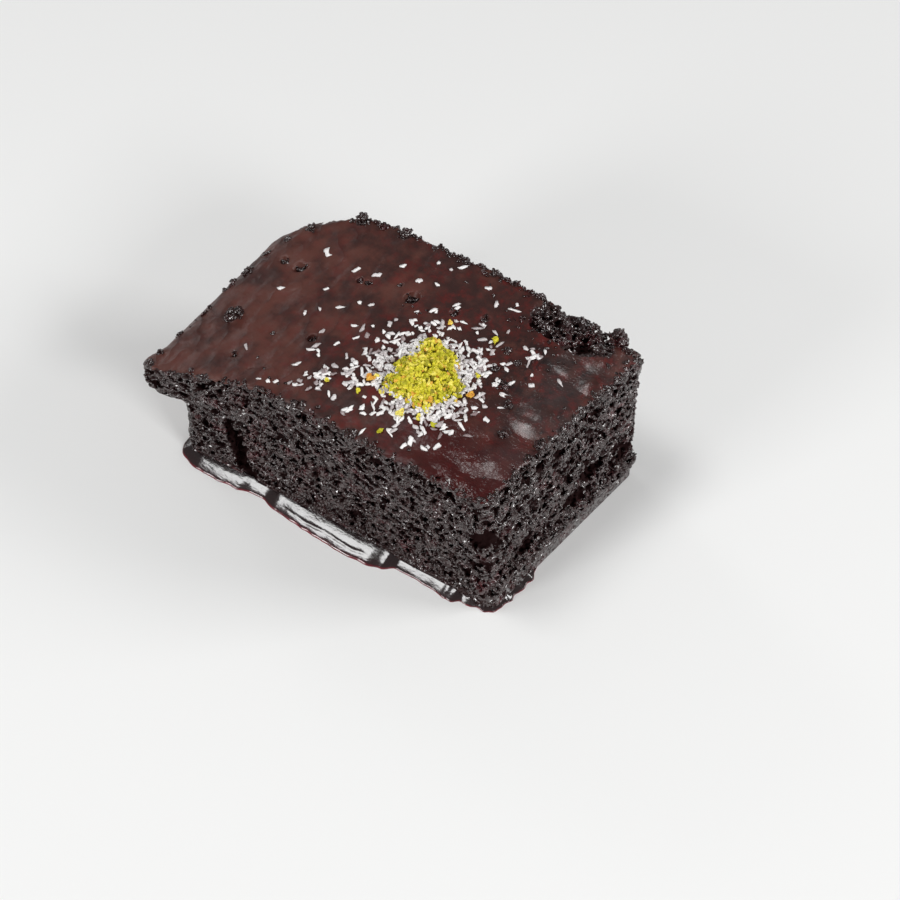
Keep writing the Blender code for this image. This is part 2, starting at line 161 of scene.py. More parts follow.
# camera, light and floor
view = {
    "place": (0.17338, -0.28087, 0.44456),
    "right": (0.84628362, 0.5316165, 0.03446646),
    "up": (-0.4433234, 0.66689906, 0.59892403),
    "lens": 85.0,
}
studio = {
    "lamps": (  # name, place, width, power
        ("key", (-0.30, -0.18, 0.94), 0.30, 2.8),
        ("leftBox", (-0.90, 0.35, 0.45), 0.25, 0.8),
        ("frontBox", (-0.38, -1.05, 0.45), 0.32, 5.6),
        ("rightBox", (0.95, -0.35, 0.65), 0.36, 5.2),
        ("backBox", (1.00, 0.62, 0.60), 0.50, 7.8),
    ),
    "sky": (0.97, 0.98, 1.0),
    "skyPower": 0.22,
    "floorColour": (0.86, 0.86, 0.85),
}


def addCamera():
    camera = bpy.data.objects.new("camera", bpy.data.cameras.new("camera"))
    camera.data.lens = view["lens"]
    right, up = Vector(view["right"]), Vector(view["up"])
    turn = Matrix((right, up, right.cross(up))).transposed().to_4x4()
    camera.matrix_world = Matrix.Translation(view["place"]) @ turn
    scene.collection.objects.link(camera)
    scene.camera = camera


def addSoftLight(name, place, width, power):
    lamp = bpy.data.lights.new(name, "AREA")
    lamp.size, lamp.energy = width, power
    light = bpy.data.objects.new(name, lamp)
    light.location = place
    light.rotation_euler = Vector(place).to_track_quat("Z", "Y").to_euler()
    scene.collection.objects.link(light)


def addFloor():
    bed = bmesh.new()
    bmesh.ops.create_grid(bed, x_segments=2, y_segments=2, size=2.0)
    floor = newPiece("floor", bed, floorFinish())


def newMaterial(name, **sockets):
    material = bpy.data.materials.new(name)
    material.use_nodes = True
    shader = material.node_tree.nodes["Principled BSDF"]
    for socket, value in sockets.items():
        feed(shader.inputs[socket.replace("_", " ")], value)
    return material, material.node_tree, shader


def millimetres(tree):  # the place on a piece
    return addNode(tree, "ShaderNodeTexCoord", out="Object").vectorMaths("SCALE", 1000.0)


def stored(tree, name):  # a value kept in the mesh
    return addNode(tree, "ShaderNodeAttribute", {"attribute_name": name}, out="Fac")


def rampColour(shader, share, stops):
    colour = addNode(shader.id_data, "ShaderNodeValToRGB", {"stops": stops}, {"Fac": share})
    feed(shader.inputs["Base Color"], colour)


def roughen(shader, height, depth, strength=1.0):
    sockets = {"Height": height, "Distance": depth, "Strength": strength}
    feed(shader.inputs["Normal"], addNode(shader.id_data, "ShaderNodeBump", {}, sockets, "Normal"))


def floorFinish():
    material, _, shader = newMaterial("floorPaint", Roughness=0.7)
    shader.inputs["Base Color"].default_value = (*studio["floorColour"], 1.0)
    return material


def newPiece(name, bed, *materials):
    mesh = bpy.data.meshes.new(name)
    bed.to_mesh(mesh)
    bed.free()
    return finishPiece(name, mesh, *materials)


def finishPiece(name, mesh, *materials):
    mesh.materials.clear()
    for material in materials:
        mesh.materials.append(material)
    piece = bpy.data.objects.new(name, mesh)
    scene.collection.objects.link(piece)
    mesh.shade_smooth()
    return piece


scene.view_settings.view_transform = "Standard"
world = bpy.data.worlds.new("studio")
scene.world = world
world.use_nodes = True
world.node_tree.nodes["Background"].inputs["Color"].default_value = (*studio["sky"], 1.0)
world.node_tree.nodes["Background"].inputs["Strength"].default_value = studio["skyPower"]
addCamera()
for lamp in studio["lamps"]:
    addSoftLight(*lamp)
addFloor()
print("camera, light and floor ready")


# the cake: a straight block in millimetres, which is then bent to its real form
cakeForm = {
    "length": 96.0,
    "width": 60.0,
    "height": 46.0,
    "tinCorner": 15.0,
    "frontLeftCorner": 4.0,
    "cutCorner": 3.0,
    "shoulder": 7.0,
    "cutEdge": 1.1,
    "rightSkew": 4.2,
    "rightSpread": 1.2,
    "rightLeanFront": 3.5,
    "rightLeanBack": 1.9,
    "leftInset": 1.2,
    "leftSkew": 1.8,
    "lipReach": 6.6,
    "lipTaper": 1.6,
    "frontInset": 2.0,
    "frontLean": 2.2,
    "frontFlare": 0.9,
    "frontLip": 6.0,
    "frontDrop": 1.9,
    "backLean": 3.6,
    "sagFront": 11.5,
    "sagBack": 3.2,
}
halfLength, halfWidth, tall = cakeForm["length"] / 2, cakeForm["width"] / 2, cakeForm["height"]
crumb = {
    "voxel": 0.4,
    "mostTriangles": 190000,
    "coreVoxel": 2.0,
    "bulge": 0.9,  # soft swells of the cut walls, then torn lumps and grit on them
    "crag": 1.6,
    "grit": 0.8,
    "lineDepth": 11.0,  # the lying creases of the right wall
    "topInset": 0.65,  # how far the relief stays inside the block
    "sideInset": 0.5,
    "ledge": 1.1,
    "ledgeTop": 9.0,
    "slitDepth": 7.0,
    "caveWidth": 4.4,
    "poreWidth": 1.9,
    "finePoreWidth": 1.15,
    "caveEdge": 0.3,
    "poreEdge": 0.12,
    "openDepth": 3.6,
    "patch": (30.5, 24.5, 12.5, 6.0),  # middle and reach of the place with no skin
    "patchDepth": 0.1,
    "tongue": 1.0,  # how far a piece runs on past its seam, and how much lower it lies there
    "tongueInset": 0.15,
}
skinPits = (  # x, y, radius of the burst bubbles in the skin
    (-33.8, 9.8, 1.5),
    (-38.7, 10.8, 1.1),
    (-18.7, 10.7, 0.9),
    (-16.6, 10.9, 0.8),
    (-5.0, 12.0, 1.8),
    (-15.6, -10.0, 1.2),
    (-28.0, -20.6, 0.7),
    (-24.7, -11.8, 0.5),
    (-9.8, 13.8, 0.5),
    (5.9, 13.3, 1.2),
    (12.5, 15.5, 0.9),
)
skinSwells = (  # x, y, reach and rise of the soft swells and dips of the skin
    (41.0, 0.5, 8.5, 1.9),
    (41.0, -11.0, 5.0, -0.4),
    (24.5, -19.5, 5.0, 0.6),
    (41.0, 22.0, 7.5, 1.8),
    (44.0, 13.5, 4.5, 0.9),
    (21.0, -11.0, 4.0, 0.6),
    (36.0, 9.5, 4.0, -0.3),
    (31.0, 2.5, 4.5, -0.7),
    (26.0, -9.0, 4.0, -0.7),
    (-42.8, -19.5, 3.2, -0.6),
    (-40.6, -15.0, 2.6, -0.5),
    (-45.0, -17.0, 4.5, 0.5),
    (-30.0, -12.0, 9.0, 0.4),
    (-24.0, 16.0, 10.0, 0.4),
)
crumbLumps = (  # x, y, radius of the crumbs stuck to the skin
    (-37.4, -9.6, 1.9),
    (-36.6, -8.2, 1.4),
    (-45.2, -24.0, 0.7),
    (-45.4, -17.0, 0.5),
    (-45.4, 0.5, 0.6),
    (-44.4, 11.5, 0.7),
    (-43.0, 17.0, 0.6),
    (-39.8, 22.0, 0.9),
    (-44.8, -28.2, 1.1),
    (-44.6, 5.4, 1.6),
    (-30.7, 28.1, 1.6),
    (-19.2, 27.6, 1.5),
    (39.8, 29.0, 1.9),
    (41.6, 28.2, 1.3),
    (36.2, 27.4, 1.3),
)
wallCaves = (  # x, y, z, radius of the large holes torn in the cut walls
    (48.5, -9.0, 39.0, 2.8),
    (48.5, -15.0, 40.0, 2.2),
    (48.5, -3.0, 38.5, 2.0),
    (48.5, 9.0, 36.0, 1.8),
    (46.5, -28.0, 31.0, 3.4),
    (43.5, -30.5, 27.0, 2.4),
    (48.8, -23.0, 27.5, 2.4),
    (48.8, 15.0, 22.0, 2.2),
    (10.0, -30.5, 30.0, 1.8),
    (-12.0, -30.5, 25.0, 1.5),
    (27.0, -30.5, 18.0, 1.9),
    (2.0, -30.5, 12.0, 1.4),
    (-30.0, -31.0, 38.0, 1.6),
    (20.0, 31.0, 28.0, 2.6),
    (-15.0, 31.0, 17.0, 2.2),
)


def cakePlan(x, y):  # distance to the upright walls, below 0 inside
    form = cakeForm
    radius = form["cutCorner"] + x.below(0.0) * (
        form["frontLeftCorner"] - form["cutCorner"]
        + (1.0 - y.below(0.0)) * (form["tinCorner"] - form["frontLeftCorner"])
    )
    across = x.size() - halfLength + radius
    along = y.size() - halfWidth + radius
    return across.most(0.0).hypot(along.most(0.0)) + across.most(along).least(0.0) - radius


def tinEnd(x, y):  # 1 on the baked end, whose wall is smooth up to the cut front
    return x.ramp(-0.86 * halfLength, -0.97 * halfLength) * y.ramp(1.2 - halfWidth, 3.4 - halfWidth)


def shoulderAt(x, y):  # the rounding of the top edge, wide where the tin was
    baked = x.ramp(-0.55 * halfLength, -0.95 * halfLength) * y.ramp(-0.97 * halfWidth, -0.6 * halfWidth)
    return cakeForm["cutEdge"] + baked * (cakeForm["shoulder"] - cakeForm["cutEdge"])


def tornPatch(x, y):
    midX, midY, reachX, reachY = crumb["patch"]
    out = ((x - midX) / reachX).hypot((y - midY) / reachY)
    flat = join(x.tree, x, y, 0.0)
    return (out + flat.grain(6.0, 3.0, 3.3, 0.6) * 0.4).ramp(1.08, 0.9)


def slit(place, x, z):  # the crack in the front wall near the left corner
    along = z / 27.0
    middle = along * -6.5 - 27.0 + place.grain(5.0, 3.0, 7.0, 0.6) * 2.2
    across = (x - middle).size() / (3.3 - 1.4 * along)
    return across.ramp(1.0, 0.25) * z.ramp(27.0, 21.0)


def wallRelief(place, x, y, z, above):
    right = x.ramp(halfLength - 9.0, halfLength - 3.5)
    front = y.ramp(6.0 - halfWidth, 2.5 - halfWidth)
    relief = place.grain(6.0, 4.0, 3.1, 0.7) * crumb["crag"]
    relief = relief + place.grain(15.0, 0.0, 1.3) * crumb["bulge"]
    relief = relief + place.grain(1.9, 2.0, 6.6, 0.7) * crumb["grit"]
    if above:
        return relief + crumb["topInset"]
    lines = place.vectorMaths("MULTIPLY", (0.6, 0.45, 0.75)).grain(4.6, 2.0, 5.9, 0.6)
    band = z.ramp(8.5, 11.5) * z.ramp(23.0, 16.0) + 0.5 * z.ramp(27.0, 30.0) * z.ramp(35.5, 33.0)
    relief = relief + (lines - 0.02).most(0.0).least(0.45) * right * band * crumb["lineDepth"]
    relief = relief - right * crumb["ledge"] * z.ramp(crumb["ledgeTop"] + 2.0, crumb["ledgeTop"])
    return relief + crumb["sideInset"] + slit(place, x, z) * front * crumb["slitDepth"]


def wallShare(x, y, z, above):  # 1 on the cut walls, 0 on the baked end and at the foot
    bare = 1.0 - tinEnd(x, y)
    return bare if above else bare * (z - x.ramp(40.0, 47.0) * 3.0).ramp(1.2, 3.6)


def wallFace(place, x, y, z, above):  # distance to the torn face of the walls
    return cakePlan(x, y) + 0.4 + (wallRelief(place, x, y, z, above) - 0.4) * wallShare(x, y, z, above)


def skinRelief(flat, x, y):  # how deep the skin lies under the block's top
    rightThird = x.ramp(12.0, 32.0)
    buckle = flat.vectorMaths("MULTIPLY", (0.8, 1.25, 0.0)).grain(8.5, 2.0, 6.1, 0.45).size()
    folds = flat.vectorMaths("MULTIPLY", (1.0, 0.4, 0.0)).grain(4.6, 2.0, 2.2, 0.5).size()
    wrinkle = flat.grain(8.0, 2.0, 4.4, 0.4) * 0.4 + (0.3 - buckle) * (0.5 + rightThird * 1.3)
    wrinkle = wrinkle + (folds - 0.25) * (1.0 - rightThird) * 0.9
    wrinkle = wrinkle + flat.grain(2.2, 1.0, 1.9) * tinEnd(x, y) * 0.35
    for swellX, swellY, reach, rise in skinSwells:
        wrinkle = wrinkle - flat.distance((swellX, swellY, 0)).ramp(reach, 0.0) * rise
    return wrinkle


def cutOut(body, holes, edge):  # the pores taken out, and a short tongue left past the seam
    body = body + edge.ramp(-0.4, 0.6) * crumb["tongueInset"]
    return body.most(holes, crumb["poreEdge"]).most(edge - crumb["tongue"])


def cakeField(place, region, above):  # below 0 inside the cake
    x, y, z = place.parts()
    bare = wallShare(x, y, z, above)
    wall = wallFace(place, x, y, z, above)
    torn = tornCaves(place)
    edge = region(x, y, z, place)
    nearFace = (0.0 - wall).ramp(crumb["openDepth"], 2.0)
    if not above:
        holes = crumbHoles(place, bare * nearFace).most(torn, crumb["caveEdge"])
        return cutOut(wall, holes, edge).most(0.0 - z)
    ragged = place.grain(2.6, 2.0, 8.2)
    underSkin = (tall - z + ragged * 0.9).ramp(0.5, 1.3)
    patch = tornPatch(x, y)
    flat = join(place.tree, x, y, 0.0)
    top = z - tall + skinRelief(flat, x, y)
    top = top + patch * (crumb["patchDepth"] + flat.grain(3.4, 2.0, 2.7) * 1.9)
    shoulder = shoulderAt(x, y)
    a, b = wall + shoulder, top + shoulder
    body = a.most(0.0).hypot(b.most(0.0)) + a.most(b).least(0.0) - shoulder
    for lumpX, lumpY, radius in crumbLumps:
        lump = place.distance((lumpX, lumpY, tall + 0.7 * radius)) - radius * 0.8
        body = body.least(lump + ragged * 0.7 * radius, 0.4)
    openPatch = patch * (0.0 - top).ramp(crumb["openDepth"], 2.0)
    opened = (bare * underSkin * nearFace).most(openPatch)
    holes = crumbHoles(place, opened).most(torn, crumb["caveEdge"])
    for pitX, pitY, radius in skinPits:
        pit = radius - place.distance((pitX, pitY, tall - 0.2 * radius))
        holes = holes.most(pit + ragged * 0.35)
    return cutOut(body, holes, edge)


def tornCaves(place):  # above 0 inside the large holes of the cut walls
    rough, caves = place.grain(3.0, 4.0, 5.2, 0.7), None
    for caveX, caveY, caveZ, radius in wallCaves:
        cave = radius - place.distance((caveX, caveY, caveZ)) + rough * 0.7 * radius
        caves = caves.most(cave, crumb["caveEdge"]) if caves else cave
    return caves


def crumbHoles(place, share):  # above 0 inside a pore
    sockets = {"Vector": place, "Scale": 1 / 3.2, "Detail": 2.0}
    drift = place.node("ShaderNodeTexNoise", {}, sockets, "Color").vectorMaths("SUBTRACT", (0.5, 0.5, 0.5))
    astray = place.vectorMaths("ADD", drift.vectorMaths("SCALE", 1.5))
    cave, caveDraw = astray.bubbles(crumb["caveWidth"])
    pore, poreDraw = astray.bubbles(crumb["poreWidth"], 10.0)
    fine, fineDraw = astray.bubbles(crumb["finePoreWidth"], 20.0)
    caves = (caveDraw - 0.45) * 4.0 * share - 0.1 - cave
    pores = (0.42 + poreDraw * 0.70) * share - 0.05 - pore
    fines = (0.36 + fineDraw * 0.30) * share - 0.05 - fine
    return caves.most(pores, 0.25).most(fines, crumb["poreEdge"])


def bentPlace(tree, x, y, z):  # from the straight block to the real form
    form = cakeForm
    u, v, w = x / halfLength, y / halfWidth, z / tall
    right, left = (1.0 + u) / 2.0, (1.0 - u) / 2.0
    front, back = (1.0 - v) / 2.0, (1.0 + v) / 2.0
    lip = w.ramp(0.55, 0.86)
    flare = u.ramp(-0.25, -1.0)
    sag = ((0.1 - u) / 1.1).most(0.0) ** 1.4
    drop = (front * form["sagFront"] + back * form["sagBack"]) * sag
    drop = drop + form["frontDrop"] * u.ramp(-0.3, 0.3) * v.ramp(-0.45, -1.0)
    lean = front * form["rightLeanFront"] + back * form["rightLeanBack"]
    overhang = form["lipReach"] - form["lipTaper"] * v
    newX = (
        x
        + right * (form["rightSpread"] + form["rightSkew"] * v - lean * w)
        + left * (form["leftInset"] + form["leftSkew"] * v - overhang * lip)
    )
    newY = (
        y
        + front * (form["frontInset"] - form["frontLean"] * w * (1.0 - flare))
        - front * flare * (form["frontFlare"] + form["frontLip"] * lip)
        + back * form["backLean"] * w * u.ramp(1.3, 0.4) * u.ramp(-0.9, -0.45)
    )
    newZ = z * (tall - drop) / tall
    return join(tree, newX, newY, newZ).vectorMaths("SCALE", mm)


def bend(x, y, z):  # the same for one place, in millimetres
    form = cakeForm
    u, v, w = x / halfLength, y / halfWidth, z / tall
    right, left, front, back = (1 + u) / 2, (1 - u) / 2, (1 - v) / 2, (1 + v) / 2
    lip, flare = ease(0.55, 0.86, w), ease(-0.25, -1.0, u)
    drop = (form["sagFront"] * front + form["sagBack"] * back) * max(0.0, (0.1 - u) / 1.1) ** 1.4
    drop += form["frontDrop"] * ease(-0.3, 0.3, u) * ease(-0.45, -1.0, v)
    lean = form["rightLeanFront"] * front + form["rightLeanBack"] * back
    overhang = form["lipReach"] - form["lipTaper"] * v
    return Vector((
        x + right * (form["rightSpread"] + form["rightSkew"] * v - lean * w)
        + left * (form["leftInset"] + form["leftSkew"] * v - overhang * lip),
        y + front * (form["frontInset"] - form["frontLean"] * w * (1 - flare))
        - front * flare * (form["frontFlare"] + form["frontLip"] * lip)
        + back * form["backLean"] * w * ease(1.3, 0.4, u) * ease(-0.9, -0.45, u),
        z * (tall - drop) / tall))


def ease(low, high, value):
    share = min(1.0, max(0.0, (value - low) / (high - low)))
    return share * share * (3 - 2 * share)


def meshed(field, place, low, high, voxel):  # the surface where the field is 0, inside a box
    counts = [math.ceil((b - a) / voxel) + 5 for a, b in zip(low, high)]
    start = [a - 2 * voxel for a in low]
    end = [a + (count - 1) * voxel for a, count in zip(start, counts)]
    box = {"Density": field(place) * -1.0, "Background": -1.0}
    box.update({"Min": [a * mm for a in start], "Max": [a * mm for a in end]})
    box.update({"Resolution X": counts[0], "Resolution Y": counts[1], "Resolution Z": counts[2]})
    cloud = addNode(place.tree, "GeometryNodeVolumeCube", {}, box)
    sockets = {"Volume": cloud, "Threshold": 0.0}
    return cloud.node("GeometryNodeVolumeToMesh", {"resolution_mode": "GRID"}, sockets)


def skinShare(place, x, y, z):  # 1 on the skin, 0 on the open crumb
    skinDepth = tall - z - (shoulderAt(x, y) - cakeForm["cutEdge"]) * 0.9
    worn = (cakePlan(x, y) + place.grain(2.2, 2.0, 8.2) * 1.1 + 1.3).ramp(0.5, -0.3)
    skin = skinDepth.ramp(1.7, 1.1) * worn * (1.0 - tornPatch(x, y))
    skin = skin.most(tinEnd(x, y) * z.ramp(0.0, 2.0))
    for lumpX, lumpY, radius in crumbLumps:
        lump = place.distance((lumpX, lumpY, tall + 0.7 * radius))
        skin = skin * lump.ramp(radius, 1.3 * radius)
    return skin


def growPiece(name, low, high, field, material, voxel):
    tree = bpy.data.node_groups.new(name, "GeometryNodeTree")
    tree.interface.new_socket("Geometry", in_out="OUTPUT", socket_type="NodeSocketGeometry")
    place = addNode(tree, "GeometryNodeInputPosition").vectorMaths("SCALE", 1000.0)
    shell = keepLargest(meshed(field, place, low, high, voxel))
    x, y, z = place.parts()
    shell = storeShare(shell, "skin", skinShare(place, x, y, z))
    # how far below the torn face and the top a point lies, kept only to paint shade into the pores
    below = (0.0 - wallFace(place, x, y, z, True)).least(tall + 0.4 - z - tornPatch(x, y) * 1.5)
    shell = storeShare(shell, "deep", below.ramp(0.1, 1.6))
    moved = bentPlace(tree, x, y, z)
    shell = shell.node("GeometryNodeSetPosition", {}, {"Geometry": shell, "Position": moved})
    tree.links.new(shell.socket, tree.nodes.new("NodeGroupOutput").inputs[0])
    holder = bpy.data.objects.new(name + "Holder", bpy.data.meshes.new(name + "Holder"))
    scene.collection.objects.link(holder)
    holder.modifiers.new("crumb", "NODES").node_group = tree
    mesh = evaluated(holder)
    count = sum(len(face.vertices) - 2 for face in mesh.polygons)
    if count > crumb["mostTriangles"]:
        holder.modifiers.clear()
        holder.data = mesh
        thin = holder.modifiers.new("thin", "DECIMATE")
        thin.ratio = crumb["mostTriangles"] / count
        mesh = evaluated(holder)
    bpy.data.objects.remove(holder)
    piece = finishPiece(name, mesh, material)
    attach(piece, "root")
    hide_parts("cake")
    print(name, count, "triangles grown,", len(mesh.polygons), "faces kept")
    return piece


def evaluated(holder):
    graph = bpy.context.evaluated_depsgraph_get()
    graph.update()
    return bpy.data.meshes.new_from_object(holder.evaluated_get(graph))


def keepLargest(shell):
    tree = shell.tree
    island = addNode(tree, "GeometryNodeInputMeshIsland")
    total = addNode(tree, "GeometryNodeAccumulateField", {"data_type": "FLOAT", "domain": "POINT"},
                    {"Value": 1.0, "Group ID": island}, "Total")
    most = addNode(tree, "GeometryNodeAttributeStatistic", {"data_type": "FLOAT", "domain": "POINT"},
                   {"Geometry": shell, 2: total}, "Max")
    return addNode(tree, "GeometryNodeDeleteGeometry", {"domain": "POINT"},
                   {"Geometry": shell, "Selection": total.below(most - 0.5)})


def storeShare(shell, name, value):
    return shell.node("GeometryNodeStoreNamedAttribute", {"data_type": "FLOAT", "domain": "POINT"},
                      {"Geometry": shell, "Name": name, "Value": value})


cakeColours = {
    "crumb": (0.040, 0.021, 0.020),
    "crumbRed": (0.085, 0.010, 0.014),
    # painted shade, near black, for deep in the pores
    "pore": (0.012, 0.004, 0.004),
    "skin": (0.092, 0.031, 0.023),
    # darker skin tone, also used as painted shade in the creases of the folds
    "skinDarkAndCreaseShade": (0.034, 0.013, 0.011),
    "blush": (0.115, 0.011, 0.009),
    "black": (0.014, 0.008, 0.008),
    "soaked": (0.046, 0.004, 0.004),
}


def skinPaint(tree, place, folds, toRight):
    x, y, _ = place.parts()
    # the skin goes darker at random and towards the right; the darkening in the creases of the folds is
    # painted shade
    cloud = (place.grain(9.0, 4.0, 5.0, 0.65) + toRight * 0.35 + (0.2 - folds) * 0.8).ramp(-0.2, 0.55)
    blush = place.grain(4.2, 4.0, 9.0, 0.7).ramp(-0.15, 0.55) * (0.25 + 0.65 * toRight)
    black = place.vectorMaths("MULTIPLY", (1.0, 0.7, 1.0)).grain(3.6, 4.0, 12.0, 0.7).ramp(0.0, 0.35)
    soaked = y.ramp(-2.0, -20.0) * x.ramp(2.0, 24.0) * (0.7 + place.grain(3.0, 2.0, 14.0) * 0.3)
    colour = mixColour(tree, cakeColours["skin"], cakeColours["skinDarkAndCreaseShade"], cloud)
    colour = mixColour(tree, colour, cakeColours["blush"], blush)
    colour = mixColour(tree, colour, cakeColours["black"], black * x.ramp(2.0, 30.0) * 0.85)
    return mixColour(tree, colour, cakeColours["soaked"], soaked)


def cakeFinish():  # wet crumb, with painted shade, near black and dull, deep in the pores, under a wetter skin
    material, tree, crumbShader = newMaterial("wetChocolate", Roughness=0.08, Specular_IOR_Level=1.0)
    # a dull, near black finish that paints shade deep in the pores
    poreShadeShader = addNode(tree, "ShaderNodeBsdfPrincipled", {}, {
        "Base Color": (*cakeColours["pore"], 1.0), "Roughness": 0.8, "Specular IOR Level": 0.05})
    skinShader = addNode(tree, "ShaderNodeBsdfPrincipled", {}, {
        "Specular IOR Level": 0.3, "Coat Roughness": 0.30, "Coat IOR": 1.55}).socket.node
    place = millimetres(tree)
    x, y, _ = place.parts()
    toRight = x.ramp(-48.0, 14.0)
    skin = (stored(tree, "skin") + place.grain(1.4, 2.0) * 0.3).ramp(0.3, 0.7)
    # painted shade: with depth in the pores the crumb gives way to the near black, dull finish, with
    # speckles of it nearer the face
    deep = (stored(tree, "deep") + place.grain(1.2, 3.0, 5.0, 0.6) * 0.8).ramp(0.05, 0.6)
    spot = place.grain(5.0, 4.0, 3.0, 0.6).ramp(0.0, 0.6)
    folds = place.vectorMaths("MULTIPLY", (1.0, 0.6, 1.0)).grain(6.5, 1.5, 2.2).size()
    crumbPaint = mixColour(tree, cakeColours["crumb"], cakeColours["crumbRed"], spot)
    roughness = 0.42 - x.ramp(10.0, 38.0) * 0.20 + place.grain(4.0, 2.0, 2.0) * 0.08
    wet = place.grain(6.0, 2.0, 6.0).ramp(-0.5, 0.2) * x.ramp(24.0, 38.0) * y.ramp(-26.0, -15.0)
    feed(crumbShader.inputs["Base Color"], crumbPaint)
    feed(skinShader.inputs["Base Color"], skinPaint(tree, place, folds, toRight))
    feed(skinShader.inputs["Roughness"], roughness)
    feed(skinShader.inputs["Coat Weight"], wet)
    chips = place.facets(0.65, 3.0) * 2.3 + place.grain(1.4, 1.0, 1.0) * 0.15
    streaks = place.vectorMaths("MULTIPLY", (0.45, 1.3, 1.0)).grain(2.6, 4.0, 4.0, 0.6) * wet * 0.40
    creases = (0.25 - folds) * (1.0 - toRight) * 0.7
    fine = place.grain(3.0, 2.0, 7.0) * 0.10
    fine = fine + place.grain(1.7, 2.0, 8.0).size() * x.ramp(8.0, 34.0) * 0.30
    roughen(crumbShader, chips, mm)
    roughen(skinShader, fine + streaks + creases, mm)
    # the painted shade is mixed over the crumb by depth
    torn = {0: deep, 1: Wire(crumbShader.outputs[0]), 2: poreShadeShader}
    whole = {0: skin, 1: addNode(tree, "ShaderNodeMixShader", {}, torn), 2: Wire(skinShader.outputs[0])}
    feed(tree.nodes["Material Output"].inputs["Surface"], addNode(tree, "ShaderNodeMixShader", {}, whole))
    return material


def mixColour(tree, first, second, share):
    sockets = {"Factor": share}
    node = addNode(tree, "ShaderNodeMix", {"data_type": "RGBA"}, sockets, 2).socket.node
    for index, value in ((6, first), (7, second)):
        feed(node.inputs[index], value if isinstance(value, Wire) else (*value, 1.0))
    return Wire(node.outputs[2])


seam = {"top": 37.0, "left": -38.5, "front": -19.0, "right": 36.0, "back": 14.0}  # where the pieces meet


def wavy(place):  # so that no seam is a straight line
    return place.grain(7.0, 1.0, 4.0) * 1.5


def topField(place):
    def region(x, y, z, place):
        return seam["top"] + wavy(place) - z
    return cakeField(place, region, True)


def sideField(*limits):  # each limit is a function of x, y and the wave, above 0 outside the piece
    def region(x, y, z, place):
        wave = wavy(place)
        edge = z - seam["top"] - wave
        for limit in limits:
            edge = edge.most(limit(x, y, wave))
        return edge
    return lambda place: cakeField(place, region, False)


def coreField(place):  # plain inside, which closes the underside
    x, y, z = place.parts()
    across = (x - (seam["left"] + seam["right"]) / 2).size() - (seam["right"] - seam["left"]) / 2 - 1.2
    along = (y - (seam["front"] + seam["back"]) / 2).size() - (seam["back"] - seam["front"]) / 2 - 0.8
    return across.most(along).most(0.06 - z).most(z - seam["top"] - 1.0)


chocolate = cakeFinish()
past = 2.6  # room round the block, and past a wavy seam
leftEnd, rightEnd = -halfLength - past, halfLength + past
frontEnd, backEnd = -halfWidth - past, halfWidth + past
left, right, front, back, top = (seam[side] for side in ("left", "right", "front", "back", "top"))
fine = crumb["voxel"]
cakeTop = growPiece("cakeTop", (leftEnd, frontEnd, top - past), (rightEnd, backEnd, tall + 4.0),
                    topField, chocolate, fine)
growPiece("cakeEnd", (leftEnd, frontEnd, 0.0), (left + past, backEnd, top + past),
          sideField(lambda x, y, wave: x - left - wave), chocolate, fine)
growPiece("crumbFront", (left - past, frontEnd, 0.0), (right + past, front + past, top + past),
          sideField(lambda x, y, wave: left + wave - x, lambda x, y, wave: x - right - wave,
                    lambda x, y, wave: y - front), chocolate, fine)
growPiece("crumbRight", (right - past, frontEnd, 0.0), (rightEnd, backEnd, top + past),
          sideField(lambda x, y, wave: right + wave - x), chocolate, fine)
growPiece("crumbBack", (left - past, back - past, 0.0), (right + past, backEnd, top + past),
          sideField(lambda x, y, wave: left + wave - x, lambda x, y, wave: x - right - wave,
                    lambda x, y, wave: back - y), chocolate, fine)
growPiece("cakeCore", (left - 1.2, front - 0.8, 0.0), (right + 1.2, back + 0.8, top + 1.0),
          coreField, chocolate, crumb["coreVoxel"])
print("cake grown")


# coconut flakes and ground pistachio
coconut = {
    "middle": (9.8, -6.2),
    "bedFlakes": 760,
    "bedReach": 7.8,
    "bedSpread": 3.4,
    "bedRise": 1.3,
    "looseFlakes": 190,
    "looseReach": 17.0,
    "length": (0.6, 3.0, 1.3),  # least, most, usual
    "width": (0.4, 1.3),
    "thickness": (0.22, 0.45),
    "templates": 16,
    "lowest": 30.0,
}
flakeClusters = (  # x, y, spread, flakes
    (-11.8, -19.8, 1.9, 22),
    (-6.5, -15.5, 2.6, 16),
    (27.1, 14.4, 1.5, 9),
    (20.0, 6.0, 3.4, 24),
    (3.0, 8.0, 4.5, 22),
    (-2.0, -1.0, 4.5, 22),
    (17.5, -17.5, 3.2, 16),
    (12.0, 10.0, 4.0, 10),
)
flakeSpots = (  # single flakes
    (-37.5, 1.5), (-34.0, 16.8), (-27.3, 6.4), (-24.0, 15.0), (-18.6, 16.2), (-24.9, -26.2),
    (-22.4, -25.8), (-20.6, -25.0), (-33.9, -18.7), (-27.4, -2.7), (-24.7, -0.1), (-20.7, 2.9),
    (-17.5, -23.7), (-15.6, -23.9), (-17.1, -12.0), (-4.0, 21.2), (-7.5, 27.6), (-3.5, 27.2),
    (-1.5, 29.4), (7.5, 27.0), (11.9, 23.6), (16.6, 24.6), (29.5, 17.6), (37.4, 11.3),
)
pistachio = {
    "mounds": (  # x, y, radius, height
        (10.1, -5.4, 7.2, 3.4),
        (6.2, 2.4, 2.8, 2.6),
        (4.8, -11.6, 2.8, 1.5),
        (8.8, -10.6, 4.0, 2.0),
        (13.0, -12.2, 2.8, 1.6),
        (16.8, -5.4, 2.9, 1.9),
        (15.6, -9.6, 2.2, 1.5),
        (11.0, 0.6, 3.4, 2.4),
        (4.6, -6.4, 3.0, 2.0),
    ),
    "bits": 1500,
    "bitSize": (0.22, 0.78),
    "templates": 14,
}
